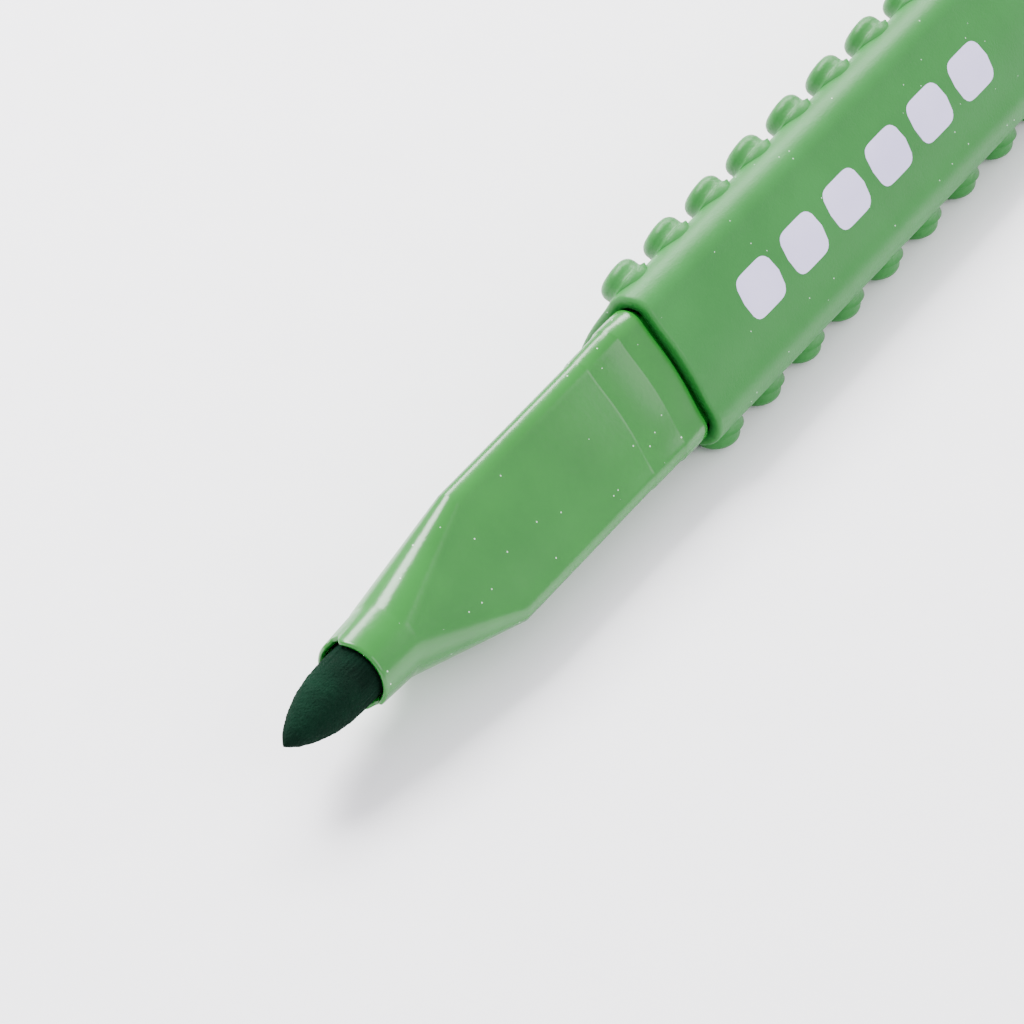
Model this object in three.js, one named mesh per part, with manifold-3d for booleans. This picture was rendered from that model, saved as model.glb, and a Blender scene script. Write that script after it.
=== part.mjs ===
// A felt brush marker with a rounded triangular body and rows of studs, its cap posted on the tail.
// Stations run along X in millimetres from the tip of the nib (0) to the closed end of the cap.
import * as THREE from "three";
import { mergeVertices } from "three/addons/utils/BufferGeometryUtils.js";
import Module from "manifold-3d";

const wasm = await Module();
wasm.setup();

// The body's cross-section is three corner circles whose centres are SIDE apart.
const SIDE = 7.6;
const BODY_CORNER = 2.0;
const WALL = 0.9;
const GAP = 0.3;

const NIB_RADIUS = 2.0;
const NIB_OGIVE = 6.3;
const NIB_REAR_RADIUS = 1.4;
const NIB_SHOULDER = 44;
const NIB_END = 52;

const NOSE_FRONT = 7.6;
const NOSE_BASE = 11.4;
const NOSE_RADIUS = 2.75;
const TAPER_END = 20;
const GRIP_CORNER = 1.07;
const RING_LINE = 35.2;
const COLLAR_LINE = 38.8;
const VENT_WIDTH = 0.8;
const VENT_DEPTH = 0.6;

const RIM = 41.8;
const BARREL_LENGTH = 90;
const BARREL_END = RIM + BARREL_LENGTH;
const SPIGOT_CORNER = BODY_CORNER - WALL - GAP;
const SPIGOT_LENGTH = 5;

const STUD_PITCH = 5.25;
const STUD_COUNT = 17;
const STUD_RADIUS = 1.55;
const STUD_HEIGHT = 1.35;
const STUD_ROOT = 0.85;
const STUD_OFFSET = 3.6;

const CORE_RADIUS = 2.5;
const FILM_OUTER = 3.0;
const FILM_WALL = 0.2;
const CORE_START = RIM + SPIGOT_LENGTH + GAP;
const CORE_END = BARREL_END - SPIGOT_LENGTH - 2 * GAP;

const POST_CORNER = 1.1;
const POST_LENGTH = 10;
const CAP_CORNER_INSIDE = POST_CORNER + GAP;
const CAP_START = BARREL_END + 2 * GAP;
const CAP_LENGTH = 50;
const CAP_END = CAP_START + CAP_LENGTH;
const CAP_END_WALL = 2.2;
const SEAL_LENGTH = 14.5;
const SEAL_OUTER = 3.3;
const SEAL_INNER = 2.95;

// How far the body rolls about its axis until it rests on one row of studs and one corner.
const REST_ROLL = THREE.MathUtils.degToRad(48.85);

// Skins a row of rings, each [station, distance between corner centres, corner radius].
function loft(rings, perCorner = 8) {
  const around = 3 * perCorner;
  const points = [];
  const faces = [];
  for (const [x, side, radius] of rings) {
    for (let i = 0; i < around; i++) {
      const corner = Math.PI / 3 + (Math.floor(i / perCorner) * 2 * Math.PI) / 3;
      const step = ((i % perCorner) + 0.5) / perCorner - 0.5;
      const turn = corner + (step * 2 * Math.PI) / 3;
      const reach = side / Math.sqrt(3);
      const y = reach * Math.sin(corner) + radius * Math.sin(turn);
      const z = reach * Math.cos(corner) + radius * Math.cos(turn);
      points.push(x, y, z);
    }
  }
  const last = rings.length - 1;
  const front = rings.length * around;
  const back = front + 1;
  points.push(rings[0][0], 0, 0, rings[last][0], 0, 0);
  for (let i = 0; i < around; i++) {
    const next = (i + 1) % around;
    faces.push(front, i, next);
    faces.push(back, last * around + next, last * around + i);
    for (let k = 0; k < last; k++) {
      const a = k * around;
      const b = a + around;
      faces.push(a + i, b + i, a + next);
      faces.push(b + i, b + next, a + next);
    }
  }
  const geometry = new THREE.BufferGeometry();
  geometry.setAttribute("position", new THREE.Float32BufferAttribute(points, 3));
  geometry.setIndex(faces);
  return geometry;
}

function toSolid(geometry) {
  const bare = new THREE.BufferGeometry();
  bare.setAttribute("position", geometry.getAttribute("position"));
  bare.setIndex(geometry.index);
  const merged = mergeVertices(bare, 1e-4);
  return new wasm.Manifold(
    new wasm.Mesh({
      numProp: 3,
      vertProperties: merged.attributes.position.array,
      triVerts: new Uint32Array(merged.index.array),
    }),
  );
}

function toGeometry(solid) {
  const mesh = solid.getMesh();
  const geometry = new THREE.BufferGeometry();
  geometry.setAttribute("position", new THREE.BufferAttribute(mesh.vertProperties, 3));
  geometry.setIndex(new THREE.BufferAttribute(mesh.triVerts, 1));
  geometry.computeVertexNormals();
  return geometry;
}

function rod(start, end, radius) {
  return toSolid(loft([[start, 0, radius], [end, 0, radius]]));
}

function triangularRod(start, end, corner) {
  return toSolid(loft([[start, SIDE, corner], [end, SIDE, corner]]));
}

function plastic(color, roughness) {
  return new THREE.MeshStandardMaterial({ color, roughness, metalness: 0 });
}

function brushNib() {
  const rings = [];
  const steps = 7;
  for (let i = 0; i <= steps; i++) {
    const t = 0.01 + (0.99 * i) / steps;
    const radius = NIB_RADIUS * Math.pow(1 - (1 - t) ** 2, 0.75);
    rings.push([i === 0 ? 0 : NIB_OGIVE * t, 0, radius]);
  }
  rings.push([NIB_SHOULDER, 0, NIB_RADIUS]);
  rings.push([NIB_SHOULDER, 0, NIB_REAR_RADIUS]);
  rings.push([NIB_END, 0, NIB_REAR_RADIUS]);
  return toSolid(loft(rings));
}

// The round nose flows into the triangular grip, which ends in two low steps and a spigot.
function frontSection() {
  const rings = [
    [NOSE_FRONT, 0, NOSE_RADIUS - 0.4],
    [NOSE_FRONT + 0.3, 0, NOSE_RADIUS - 0.2],
    [NOSE_BASE, 0, NOSE_RADIUS],
  ];
  const steps = 6;
  for (let i = 1; i <= steps; i++) {
    const t = i / steps;
    const side = SIDE * t;
    const width = THREE.MathUtils.lerp(2 * NOSE_RADIUS, 0.95 * SIDE + 2 * GRIP_CORNER, t);
    rings.push([THREE.MathUtils.lerp(NOSE_BASE, TAPER_END, t), side, (width - 0.95 * side) / 2]);
  }
  rings.push([RING_LINE - 0.2, SIDE, GRIP_CORNER + 0.03]);
  rings.push([RING_LINE, SIDE, GRIP_CORNER + 0.09]);
  rings.push([COLLAR_LINE - 0.2, SIDE, GRIP_CORNER + 0.1]);
  rings.push([COLLAR_LINE, SIDE, GRIP_CORNER + 0.18]);
  rings.push([RIM - GAP, SIDE, GRIP_CORNER + 0.2]);
  rings.push([RIM - GAP, SIDE, SPIGOT_CORNER]);
  rings.push([RIM + SPIGOT_LENGTH, SIDE, SPIGOT_CORNER]);
  const vent = new THREE.BoxGeometry(2 * VENT_DEPTH, 4 * NOSE_RADIUS, VENT_WIDTH);
  vent.translate(NOSE_FRONT, 0, 0);
  return toSolid(loft(rings))
    .subtract(rod(NOSE_FRONT - 1, RIM + SPIGOT_LENGTH + 1, NIB_RADIUS + GAP))
    .subtract(toSolid(vent));
}

function stud(station, sideSign) {
  const geometry = loft(
    [
      [-STUD_ROOT, 0, STUD_RADIUS],
      [STUD_HEIGHT - 0.5, 0, STUD_RADIUS],
      [STUD_HEIGHT - 0.15, 0, STUD_RADIUS - 0.25],
      [STUD_HEIGHT, 0, STUD_RADIUS - 0.8],
    ],
    4,
  );
  const angle = (sideSign * 2 * Math.PI) / 3;
  const outward = new THREE.Vector3(0, Math.sin(angle), Math.cos(angle));
  const across = new THREE.Vector3(0, -sideSign * Math.cos(angle), sideSign * Math.sin(angle));
  const turn = new THREE.Quaternion().setFromUnitVectors(new THREE.Vector3(1, 0, 0), outward);
  const inradius = SIDE / (2 * Math.sqrt(3)) + BODY_CORNER;
  const place = outward.clone().multiplyScalar(inradius);
  place.addScaledVector(across, STUD_OFFSET);
  place.x = station;
  geometry.applyQuaternion(turn);
  geometry.translate(place.x, place.y, place.z);
  return toSolid(geometry);
}

function barrel() {
  let shell = toSolid(
    loft([
      [RIM, SIDE, BODY_CORNER - 0.25],
      [RIM + 0.3, SIDE, BODY_CORNER],
      [BARREL_END - 0.3, SIDE, BODY_CORNER],
      [BARREL_END, SIDE, BODY_CORNER - 0.25],
    ]),
  );
  shell = shell.subtract(triangularRod(RIM - 1, BARREL_END + 1, BODY_CORNER - WALL));
  for (let i = 0; i < STUD_COUNT; i++) {
    const station = RIM + STUD_PITCH * (i + 0.5);
    shell = shell.add(stud(station, 1)).add(stud(station, -1));
  }
  return shell;
}

function reservoirCore() {
  return rod(CORE_START, CORE_END, CORE_RADIUS).subtract(
    rod(CORE_START - 1, NIB_END + GAP, NIB_REAR_RADIUS + GAP),
  );
}

function reservoirFilm() {
  return rod(CORE_START, CORE_END, FILM_OUTER).subtract(
    rod(CORE_START - 1, CORE_END + 1, FILM_OUTER - FILM_WALL),
  );
}

function tailPlug() {
  return toSolid(
    loft([
      [BARREL_END - SPIGOT_LENGTH, SIDE, SPIGOT_CORNER],
      [BARREL_END + GAP, SIDE, SPIGOT_CORNER],
      [BARREL_END + GAP, SIDE, POST_CORNER],
      [BARREL_END + POST_LENGTH, SIDE, POST_CORNER],
      [BARREL_END + POST_LENGTH + 0.5, SIDE, POST_CORNER - 0.5],
    ]),
  );
}

function capShell() {
  return toSolid(
    loft([
      [CAP_START, SIDE, BODY_CORNER - 0.25],
      [CAP_START + 0.3, SIDE, BODY_CORNER],
      [CAP_END - 1, SIDE, BODY_CORNER],
      [CAP_END - 0.3, SIDE, BODY_CORNER - 0.3],
      [CAP_END, SIDE, BODY_CORNER - 1],
    ]),
  ).subtract(triangularRod(CAP_START - 1, CAP_END - CAP_END_WALL, CAP_CORNER_INSIDE));
}

function capSeal() {
  const end = CAP_END - CAP_END_WALL - GAP;
  return rod(end - SEAL_LENGTH, end, SEAL_OUTER).subtract(
    rod(end - SEAL_LENGTH - 1, end + 1, SEAL_INNER),
  );
}

const marker = new THREE.Group();
marker.name = "marker";
const resting = new THREE.Group();
resting.name = "resting_marker";
resting.rotation.x = REST_ROLL;
marker.add(resting);

function place(name, solid, material) {
  const mesh = new THREE.Mesh(toGeometry(solid), material);
  mesh.name = name;
  resting.add(mesh);
}

place("brush_nib", brushNib(), plastic("#1b3a2e", 0.95));
place("front_section", frontSection(), plastic("#48a050", 0.25));
place("barrel", barrel(), plastic("#55a55c", 0.45));
place("reservoir_core", reservoirCore(), plastic("#2f7a3d", 0.95));
place("reservoir_film", reservoirFilm(), plastic("#e6ece6", 0.3));
place("tail_plug", tailPlug(), plastic("#48a050", 0.3));
place("cap_shell", capShell(), plastic("#55a55c", 0.35));
place("cap_seal", capSeal(), plastic("#e8eee8", 0.4));

// The origin is under the middle of the marker, on the surface that it rests on.
const bounds = new THREE.Box3().setFromObject(resting, true);
const middle = bounds.getCenter(new THREE.Vector3());
resting.position.set(-middle.x, -middle.y, -bounds.min.z);

export default marker;
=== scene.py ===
"""A green felt brush marker lying on a pale floor, seen from its nib, with its cap posted on the tail."""

import math

import bpy
from mathutils import Matrix, Vector, noise


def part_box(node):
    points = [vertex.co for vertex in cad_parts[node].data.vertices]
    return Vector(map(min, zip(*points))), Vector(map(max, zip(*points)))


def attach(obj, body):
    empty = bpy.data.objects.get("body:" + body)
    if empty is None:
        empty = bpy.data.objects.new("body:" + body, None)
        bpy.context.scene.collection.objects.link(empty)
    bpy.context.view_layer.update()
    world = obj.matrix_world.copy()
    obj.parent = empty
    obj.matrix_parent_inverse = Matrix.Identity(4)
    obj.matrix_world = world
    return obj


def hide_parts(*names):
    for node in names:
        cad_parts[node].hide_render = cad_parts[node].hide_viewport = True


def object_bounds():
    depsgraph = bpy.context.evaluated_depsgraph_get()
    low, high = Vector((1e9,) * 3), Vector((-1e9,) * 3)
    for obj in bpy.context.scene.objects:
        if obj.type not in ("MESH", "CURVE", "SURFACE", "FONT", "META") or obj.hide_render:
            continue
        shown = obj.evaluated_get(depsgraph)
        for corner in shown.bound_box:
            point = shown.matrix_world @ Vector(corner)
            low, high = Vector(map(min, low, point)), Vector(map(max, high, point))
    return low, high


MM = 0.001

# Stations along the marker, in millimetres from the tip of the nib.
NOSE_FRONT = 7.6
NOSE_BASE = 11.4
TAPER_END = 20.0
RING_LINE = 35.2
COLLAR_LINE = 38.8
RIM = 41.8
BARREL_END = 131.8
CAP_START = 132.4
CAP_END = 182.4

# The section is a triangle of corner circles, with faces that bulge a little.
SIDE = 7.6
BODY_CORNER = 2.0
GRIP_CORNER = 1.07
FACE_CROWN = 0.28
NIB_RADIUS = 2.0
NIB_OGIVE = 6.3
NIB_SHOULDER = 44.0
NIB_END = 52.0
NIB_REAR_RADIUS = 1.4
NOSE_RADIUS = 2.75
REST_ROLL = math.radians(48.85)

STUD_PITCH = 5.25
STUD_COUNT = 17
STUD_RADIUS = 1.55
STUD_HEIGHT = 1.35
STUD_OFFSET = 3.6

# The camera: how the marker's axis lies to the lens, and where the tip sits in the picture.
AXIS_DEPTH = math.radians(41.0)
AXIS_RISE = math.radians(45.8)
FACE_TURN = math.radians(19.0)
LENS = 244.0
SENSOR = 36.0
TIP_DISTANCE = 0.418
TIP_ACROSS = -0.2236
TIP_DOWN = 0.2295

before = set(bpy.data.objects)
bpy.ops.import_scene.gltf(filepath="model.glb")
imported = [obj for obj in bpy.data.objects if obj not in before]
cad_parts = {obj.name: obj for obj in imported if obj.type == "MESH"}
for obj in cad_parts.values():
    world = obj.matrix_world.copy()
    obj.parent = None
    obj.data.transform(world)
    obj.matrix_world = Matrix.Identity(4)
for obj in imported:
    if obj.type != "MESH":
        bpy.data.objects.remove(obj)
cad_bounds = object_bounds()
nib_low, nib_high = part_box("brush_nib")
TIP = Vector((nib_low[0], (nib_low[1] + nib_high[1]) / 2, (nib_low[2] + nib_high[2]) / 2))


def polar(turn, side, radius, crown):
    """Distance from the axis to a rounded triangle's surface in the direction turn."""
    third = 2 * math.pi / 3
    bend = abs((turn % third) - third / 2)
    centre = side / math.sqrt(3)
    face = side / (2 * math.sqrt(3)) + radius
    edge = math.atan2(radius * math.sin(third / 2), centre + radius * math.cos(third / 2))
    if side < 1e-6:
        return radius
    if bend < edge:
        return centre * math.cos(bend) + math.sqrt(radius**2 - (centre * math.sin(bend)) ** 2)
    away = face * math.tan(third / 2 - bend)
    share = min(1.0, 2 * away / side)
    return (face + crown * (1 - share**2) ** 2) / math.cos(third / 2 - bend)


def skin(rings, around=240, closed=False, relief=None, slide=None):
    """Vertices and faces through rings of (station, side, corner radius, crown)."""
    points = []
    faces = []
    for x, side, radius, crown in rings:
        for i in range(around):
            turn = 2 * math.pi * i / around
            reach = polar(turn, side, radius, crown)
            reach += relief(x, turn) if relief else 0.0
            along = x + (slide(x, turn) if slide else 0.0)
            points.append(Vector((along, reach * math.sin(turn), reach * math.cos(turn))))
    spans = len(rings) if closed else len(rings) - 1
    for k in range(spans):
        a = k * around
        b = ((k + 1) % len(rings)) * around
        for i in range(around):
            j = (i + 1) % around
            faces.append((a + i, b + i, b + j, a + j))
    if not closed:
        last = (len(rings) - 1) * around
        faces.append(tuple(range(around)))
        faces.append(tuple(last + i for i in reversed(range(around))))
    return points, faces


def piece(name, skins, material, body, node=None):
    """One object from several skins, laid on the floor with the marker."""
    roll = Matrix.Rotation(REST_ROLL, 3, "X")
    points = []
    faces = []
    for skin_points, skin_faces in skins:
        start = len(points)
        points += [TIP + (roll @ p) * MM for p in skin_points]
        faces += [tuple(start + i for i in face) for face in skin_faces]
    mesh = bpy.data.meshes.new(name)
    mesh.from_pydata(points, [], faces)
    mesh.shade_smooth()
    mesh.materials.append(material)
    obj = bpy.data.objects.new(name, mesh)
    bpy.context.scene.collection.objects.link(obj)
    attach(obj, body)
    if node:
        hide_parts(node)
    return obj


def arc(x, radius, side, size, start, end, crown=0.0, steps=5):
    """Rings round an edge: the profile turns from start to end degrees, 0 pointing to the rear."""
    rings = []
    for i in range(steps + 1):
        turn = math.radians(start + (end - start) * i / steps)
        rings.append((x + size * math.cos(turn), side, radius + size * math.sin(turn), crown))
    return rings


def surface(name, colour, dark, roughness, grain, bump, speckle=0.0, specular=0.5):
    """A moulded or fibrous surface: mottled colour, uneven gloss and a fine relief."""
    made = bpy.data.materials.new(name)
    made.use_nodes = True
    nodes = made.node_tree.nodes
    links = made.node_tree.links
    shader = nodes["Principled BSDF"]
    shader.inputs["Specular IOR Level"].default_value = specular
    place = nodes.new("ShaderNodeTexCoord")
    mottle = nodes.new("ShaderNodeTexNoise")
    mottle.inputs["Scale"].default_value = 180.0
    mottle.inputs["Detail"].default_value = 6.0
    ramp = nodes.new("ShaderNodeValToRGB")
    ramp.color_ramp.elements[0].position = 0.3
    ramp.color_ramp.elements[0].color = (*dark, 1)
    ramp.color_ramp.elements[1].position = 0.7
    ramp.color_ramp.elements[1].color = (*colour, 1)
    fine = nodes.new("ShaderNodeTexNoise")
    fine.inputs["Scale"].default_value = grain
    fine.inputs["Detail"].default_value = 8.0
    gloss = nodes.new("ShaderNodeMapRange")
    gloss.inputs["To Min"].default_value = roughness * 0.75
    gloss.inputs["To Max"].default_value = roughness * 1.25
    relief = nodes.new("ShaderNodeBump")
    relief.inputs["Strength"].default_value = bump
    relief.inputs["Distance"].default_value = 0.0002
    links.new(place.outputs["Object"], mottle.inputs["Vector"])
    links.new(place.outputs["Object"], fine.inputs["Vector"])
    links.new(mottle.outputs["Fac"], ramp.inputs["Fac"])
    links.new(fine.outputs["Fac"], gloss.inputs["Value"])
    links.new(fine.outputs["Fac"], relief.inputs["Height"])
    links.new(gloss.outputs["Result"], shader.inputs["Roughness"])
    links.new(relief.outputs["Normal"], shader.inputs["Normal"])
    tint = ramp.outputs["Color"]
    if speckle:
        dust = nodes.new("ShaderNodeTexVoronoi")
        dust.inputs["Scale"].default_value = 900.0
        spot = nodes.new("ShaderNodeMath")
        spot.operation = "LESS_THAN"
        spot.inputs[1].default_value = speckle
        mix = nodes.new("ShaderNodeMix")
        mix.data_type = "RGBA"
        mix.inputs["B"].default_value = (0.55, 0.75, 0.55, 1)
        links.new(place.outputs["Object"], dust.inputs["Vector"])
        links.new(dust.outputs["Distance"], spot.inputs[0])
        links.new(spot.outputs["Value"], mix.inputs["Factor"])
        links.new(tint, mix.inputs["A"])
        tint = mix.outputs["Result"]
    links.new(tint, shader.inputs["Base Color"])
    return made


grip_green = surface(
    "grip_green", (0.012, 0.17, 0.016), (0.009, 0.14, 0.012), 0.22, 2500, 0.05, speckle=0.05
)
barrel_green = surface(
    "barrel_green", (0.018, 0.165, 0.026), (0.014, 0.14, 0.020), 0.42, 6000, 0.12, speckle=0.04, specular=0.3
)
felt_green = surface(
    "felt_green", (0.004, 0.024, 0.012), (0.001, 0.005, 0.003), 0.95, 7000, 0.9, specular=0.05
)
ink_print = surface("ink_print", (0.64, 0.59, 0.84), (0.58, 0.53, 0.80), 0.5, 5000, 0.1)
fibre_green = surface("fibre_green", (0.03, 0.20, 0.06), (0.015, 0.12, 0.03), 0.95, 5000, 0.8)
film_white = surface("film_white", (0.80, 0.83, 0.80), (0.72, 0.76, 0.72), 0.3, 3000, 0.2)
seal_white = surface("seal_white", (0.80, 0.83, 0.80), (0.74, 0.78, 0.74), 0.4, 3000, 0.1)


def nib():
    """A felt point: lengthwise fibres on its shank, and a grainy pointed end."""
    rings = []
    for i in range(70):
        t = 0.01 + 0.99 * i / 69
        radius = NIB_RADIUS * (1 - (1 - t) ** 2) ** 0.85
        rings.append((NIB_OGIVE * t, 0.0, radius, 0.0))
    for i in range(1, 40):
        rings.append((NIB_OGIVE + 5.0 * i / 39, 0.0, NIB_RADIUS, 0.0))
    rings.append((NIB_SHOULDER, 0.0, NIB_RADIUS, 0.0))
    rings.append((NIB_SHOULDER + 0.1, 0.0, NIB_REAR_RADIUS, 0.0))
    rings.append((NIB_END, 0.0, NIB_REAR_RADIUS, 0.0))

    def fibres(x, turn):
        strands = noise.noise(Vector((14 * math.sin(turn), 14 * math.cos(turn), x * 0.35)))
        grains = noise.noise(Vector((5 * math.sin(turn), 5 * math.cos(turn), x * 5.0)))
        shank = min(1.0, max(0.0, (x - 5.3) / 1.0))
        ends = min(1.0, x / 0.8)
        return ends * (shank * 0.05 * strands + (1 - shank) * 0.05 * grains) - 0.02

    return skin(rings, around=360, relief=fibres)


def front_section():
    """Round nose, taper to the triangular grip, ring line, collar, and the bore for the nib."""
    rings = arc(NOSE_FRONT + 0.25, 2.3, 0.0, 0.25, 180, 90)
    rings += [(NOSE_BASE - 0.3, 0.0, 2.68, 0.0), (NOSE_BASE, 0.0, NOSE_RADIUS, 0.0)]
    steps = 40
    for i in range(1, steps + 1):
        t = i / steps
        side = SIDE * t
        width = (1 - t) * 2 * NOSE_RADIUS + t * (0.95 * SIDE + 2 * GRIP_CORNER)
        station = NOSE_BASE + (TAPER_END - NOSE_BASE) * t
        rings.append((station, side, (width - 0.95 * side) / 2, FACE_CROWN * t))
    corner = GRIP_CORNER
    for line, rise in ((RING_LINE, 0.07), (COLLAR_LINE, 0.09)):
        rings.append((line - 0.12, SIDE, corner + 0.02, FACE_CROWN))
        corner += 0.02 + rise
        rings.append((line, SIDE, corner - 0.02, FACE_CROWN))
        rings.append((line + 0.08, SIDE, corner, FACE_CROWN))
    rings += arc(RIM - 0.5, corner - 0.2, SIDE, 0.2, 90, 0, FACE_CROWN)
    rings += [(RIM - 0.3, SIDE, 0.8, 0.0), (RIM + 5, SIDE, 0.8, 0.0)]
    rings += [(RIM + 5, 0.0, 2.3, 0.0), (NOSE_FRONT + 0.3, 0.0, 2.15, 0.0)]

    def vents(x, turn):
        """The nose's rim is notched on its two sides."""
        depth = max(0.0, 1 - (x - NOSE_FRONT) / 1.6) if x < 10 else 0.0
        away = abs(turn % math.pi - math.pi / 2)
        return 0.55 * depth / (1 + (away / 0.2) ** 6)

    return skin(rings, closed=True, slide=vents)


def stud(station, side_sign):
    """A short moulded stud with a rounded top and a flared foot."""
    angle = side_sign * 2 * math.pi / 3
    outward = Vector((0, math.sin(angle), math.cos(angle)))
    across = Vector((0, -side_sign * math.cos(angle), side_sign * math.sin(angle)))
    face = SIDE / (2 * math.sqrt(3)) + BODY_CORNER
    middle = Vector((station, 0, 0)) + outward * face + across * STUD_OFFSET
    profile = [(STUD_RADIUS, -0.8), (STUD_RADIUS + 0.3, -0.02)]
    profile += [(STUD_RADIUS + 0.1, 0.06), (STUD_RADIUS, 0.22), (STUD_RADIUS, 0.6)]
    for i in range(1, 9):
        turn = math.pi / 2 * i / 8
        profile.append((0.75 * math.cos(turn) + STUD_RADIUS - 0.75, 0.6 + 0.7 * math.sin(turn)))
    profile.append((0.4, STUD_HEIGHT - 0.01))
    around = 40
    points = []
    faces = []
    for radius, height in profile:
        for i in range(around):
            turn = 2 * math.pi * i / around
            flat = Vector((1, 0, 0)) * math.cos(turn) + across * math.sin(turn)
            points.append(middle + flat * radius + outward * height)
    for k in range(len(profile) - 1):
        for i in range(around):
            j = (i + 1) % around
            quad = (k * around + i, k * around + j, (k + 1) * around + j, (k + 1) * around + i)
            faces.append(quad if side_sign < 0 else quad[::-1])
    top = tuple((len(profile) - 1) * around + i for i in range(around))
    faces.append(top if side_sign < 0 else top[::-1])
    return points, faces


def barrel():
    """The studded tube, with a rounded lip at each end."""
    rings = arc(RIM + 0.3, BODY_CORNER - 0.3, SIDE, 0.3, 180, 90, FACE_CROWN)
    rings += arc(BARREL_END - 0.3, BODY_CORNER - 0.3, SIDE, 0.3, 90, 0, FACE_CROWN)
    rings += [(BARREL_END, SIDE, 1.1, 0.0), (RIM + 0.1, SIDE, 1.1, 0.0)]
    skins = [skin(rings, closed=True)]
    for i in range(STUD_COUNT):
        station = RIM + STUD_PITCH * (i + 0.5)
        skins.append(stud(station, 1))
        skins.append(stud(station, -1))
    return skins


def tail_plug():
    rings = [(BARREL_END - 5, SIDE, 0.8, 0.0), (BARREL_END + 0.3, SIDE, 0.8, 0.0)]
    rings += [(BARREL_END + 0.32, SIDE, 1.05, 0.0)]
    rings += arc(BARREL_END + 10, 0.7, SIDE, 0.4, 90, 0)
    return skin(rings)


def cap_shell():
    """A deep cup with a rounded closed end."""
    rings = [(CAP_END - 2.2, SIDE, 1.4, 0.0), (CAP_START + 0.1, SIDE, 1.4, 0.0)]
    rings += arc(CAP_START + 0.25, BODY_CORNER - 0.25, SIDE, 0.25, 180, 90, FACE_CROWN)
    rings += arc(CAP_END - 1.0, BODY_CORNER - 1.0, SIDE, 1.0, 90, 0, FACE_CROWN, steps=10)
    return skin(rings)


def printed_mark(start, end, low, high):
    """A plain rounded bar of ink on the printed face, from start to end and low to high."""
    points = []
    faces = []
    columns, rows = 24, 8
    face = SIDE / (2 * math.sqrt(3)) + BODY_CORNER
    for i in range(columns + 1):
        u = i / columns
        swell = (1 - (2 * u - 1) ** 6) ** 0.5
        for j in range(rows + 1):
            middle = (low + high) / 2
            y = middle + (high - low) * (j / rows - 0.5) * swell
            bulge = FACE_CROWN * (1 - min(1.0, (2 * y / SIDE) ** 2)) ** 2
            points.append(Vector((start + (end - start) * u, y, face + bulge + 0.015)))
    for i in range(columns):
        for j in range(rows):
            a = i * (rows + 1) + j
            b = a + rows + 1
            faces.append((a, b, b + 1, a + 1))
    return points, faces


piece("felt_nib", [nib()], felt_green, "pen", "brush_nib")
piece("grip_moulding", [front_section()], grip_green, "pen", "front_section")
piece("studded_barrel", barrel(), barrel_green, "pen", "barrel")
piece("plug_moulding", [tail_plug()], grip_green, "pen", "tail_plug")
piece("cap_moulding", [cap_shell()], barrel_green, "cap", "cap_shell")
marks = [printed_mark(49 + 5.6 * i, 53.4 + 5.6 * i, -1.6, 1.6) for i in range(6)]
marks.append(printed_mark(88, 112, 0.6, 1.1))
marks.append(printed_mark(88, 104, -0.9, -0.4))
piece("printed_bars", marks, ink_print, "pen")

for node, material in (
    ("reservoir_core", fibre_green),
    ("reservoir_film", film_white),
    ("cap_seal", seal_white),
):
    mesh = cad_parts[node].data
    mesh.materials.clear()
    mesh.materials.append(material)


def camera_axes():
    """The picture's right, down and away directions, in the marker's frame."""
    rise, depth = AXIS_RISE, AXIS_DEPTH
    along = Vector((math.cos(depth) * math.cos(rise), -math.cos(depth) * math.sin(rise), math.sin(depth)))
    across = Vector((math.sin(rise), math.cos(rise), 0))
    toward = Vector((math.sin(depth) * math.cos(rise), -math.sin(depth) * math.sin(rise), -math.cos(depth)))
    lean = REST_ROLL - FACE_TURN
    up = toward * math.cos(lean) - across * math.sin(lean)
    side = up.cross(along)
    return [Vector((along[i], side[i], up[i])) for i in range(3)]


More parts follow.
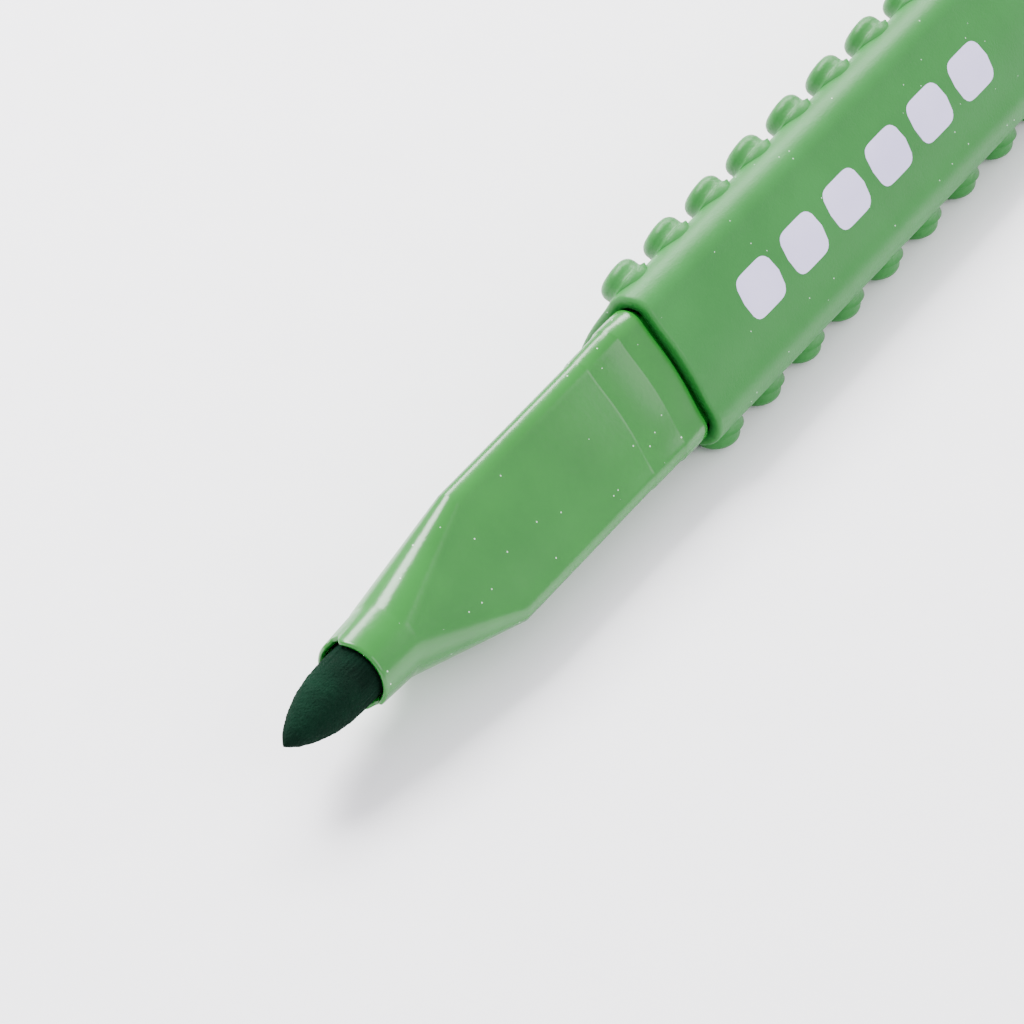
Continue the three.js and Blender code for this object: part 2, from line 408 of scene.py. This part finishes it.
right, down, away = camera_axes()
field = TIP_DISTANCE * SENSOR / LENS
eye = TIP - away * TIP_DISTANCE - right * (TIP_ACROSS * field) - down * (TIP_DOWN * field)
camera_data = bpy.data.cameras.new("camera")
camera_data.lens = LENS
camera_data.sensor_width = SENSOR
camera_data.clip_start = 0.01
camera = bpy.data.objects.new("camera", camera_data)
bpy.context.scene.collection.objects.link(camera)
turned = Matrix((right, -down, -away)).transposed().to_4x4()
camera.matrix_world = Matrix.Translation(eye) @ turned
bpy.context.scene.camera = camera


def area_light(name, offset, size, power, colour=(1, 1, 1)):
    """A soft panel aimed at the visible half of the marker."""
    target = TIP + Vector((0.04, 0, 0))
    data = bpy.data.lights.new(name, "AREA")
    data.shape = "RECTANGLE"
    data.size, data.size_y = size
    data.energy = power
    data.color = colour
    light = bpy.data.objects.new(name, data)
    bpy.context.scene.collection.objects.link(light)
    light.location = target + offset
    light.rotation_euler = (-offset).to_track_quat("-Z", "Y").to_euler()


flat_right = Vector((right.x, right.y, 0)).normalized()
flat_away = Vector((away.x, away.y, 0)).normalized()
height = Vector((0, 0, 1))
area_light("key_panel", -0.30 * flat_right + 0.20 * flat_away + 0.42 * height, (0.30, 0.22), 6.5)
area_light("fill_panel", 0.45 * flat_right - 0.30 * flat_away + 0.40 * height, (0.5, 0.5), 2.4)

area_light("edge_panel", Vector((0.29, 0.225, 0.268)), (0.40, 0.12), 3.5)

world = bpy.data.worlds.new("studio")
world.use_nodes = True
world.node_tree.nodes["Background"].inputs["Color"].default_value = (0.96, 0.95, 1.0, 1)
world.node_tree.nodes["Background"].inputs["Strength"].default_value = 1.6
bpy.context.scene.world = world

floor_mesh = bpy.data.meshes.new("floor")
corners = [(-2, -2, 0), (2, -2, 0), (2, 2, 0), (-2, 2, 0)]
floor_mesh.from_pydata(corners, [], [(0, 1, 2, 3)])
paper = surface("floor_paper", (0.95, 0.94, 0.96), (0.93, 0.92, 0.94), 0.7, 900, 0.05)
floor_mesh.materials.append(paper)
floor = bpy.data.objects.new("floor", floor_mesh)
floor.location.z = cad_bounds[0][2] - 0.00005
bpy.context.scene.collection.objects.link(floor)

bpy.context.view_layer.update()
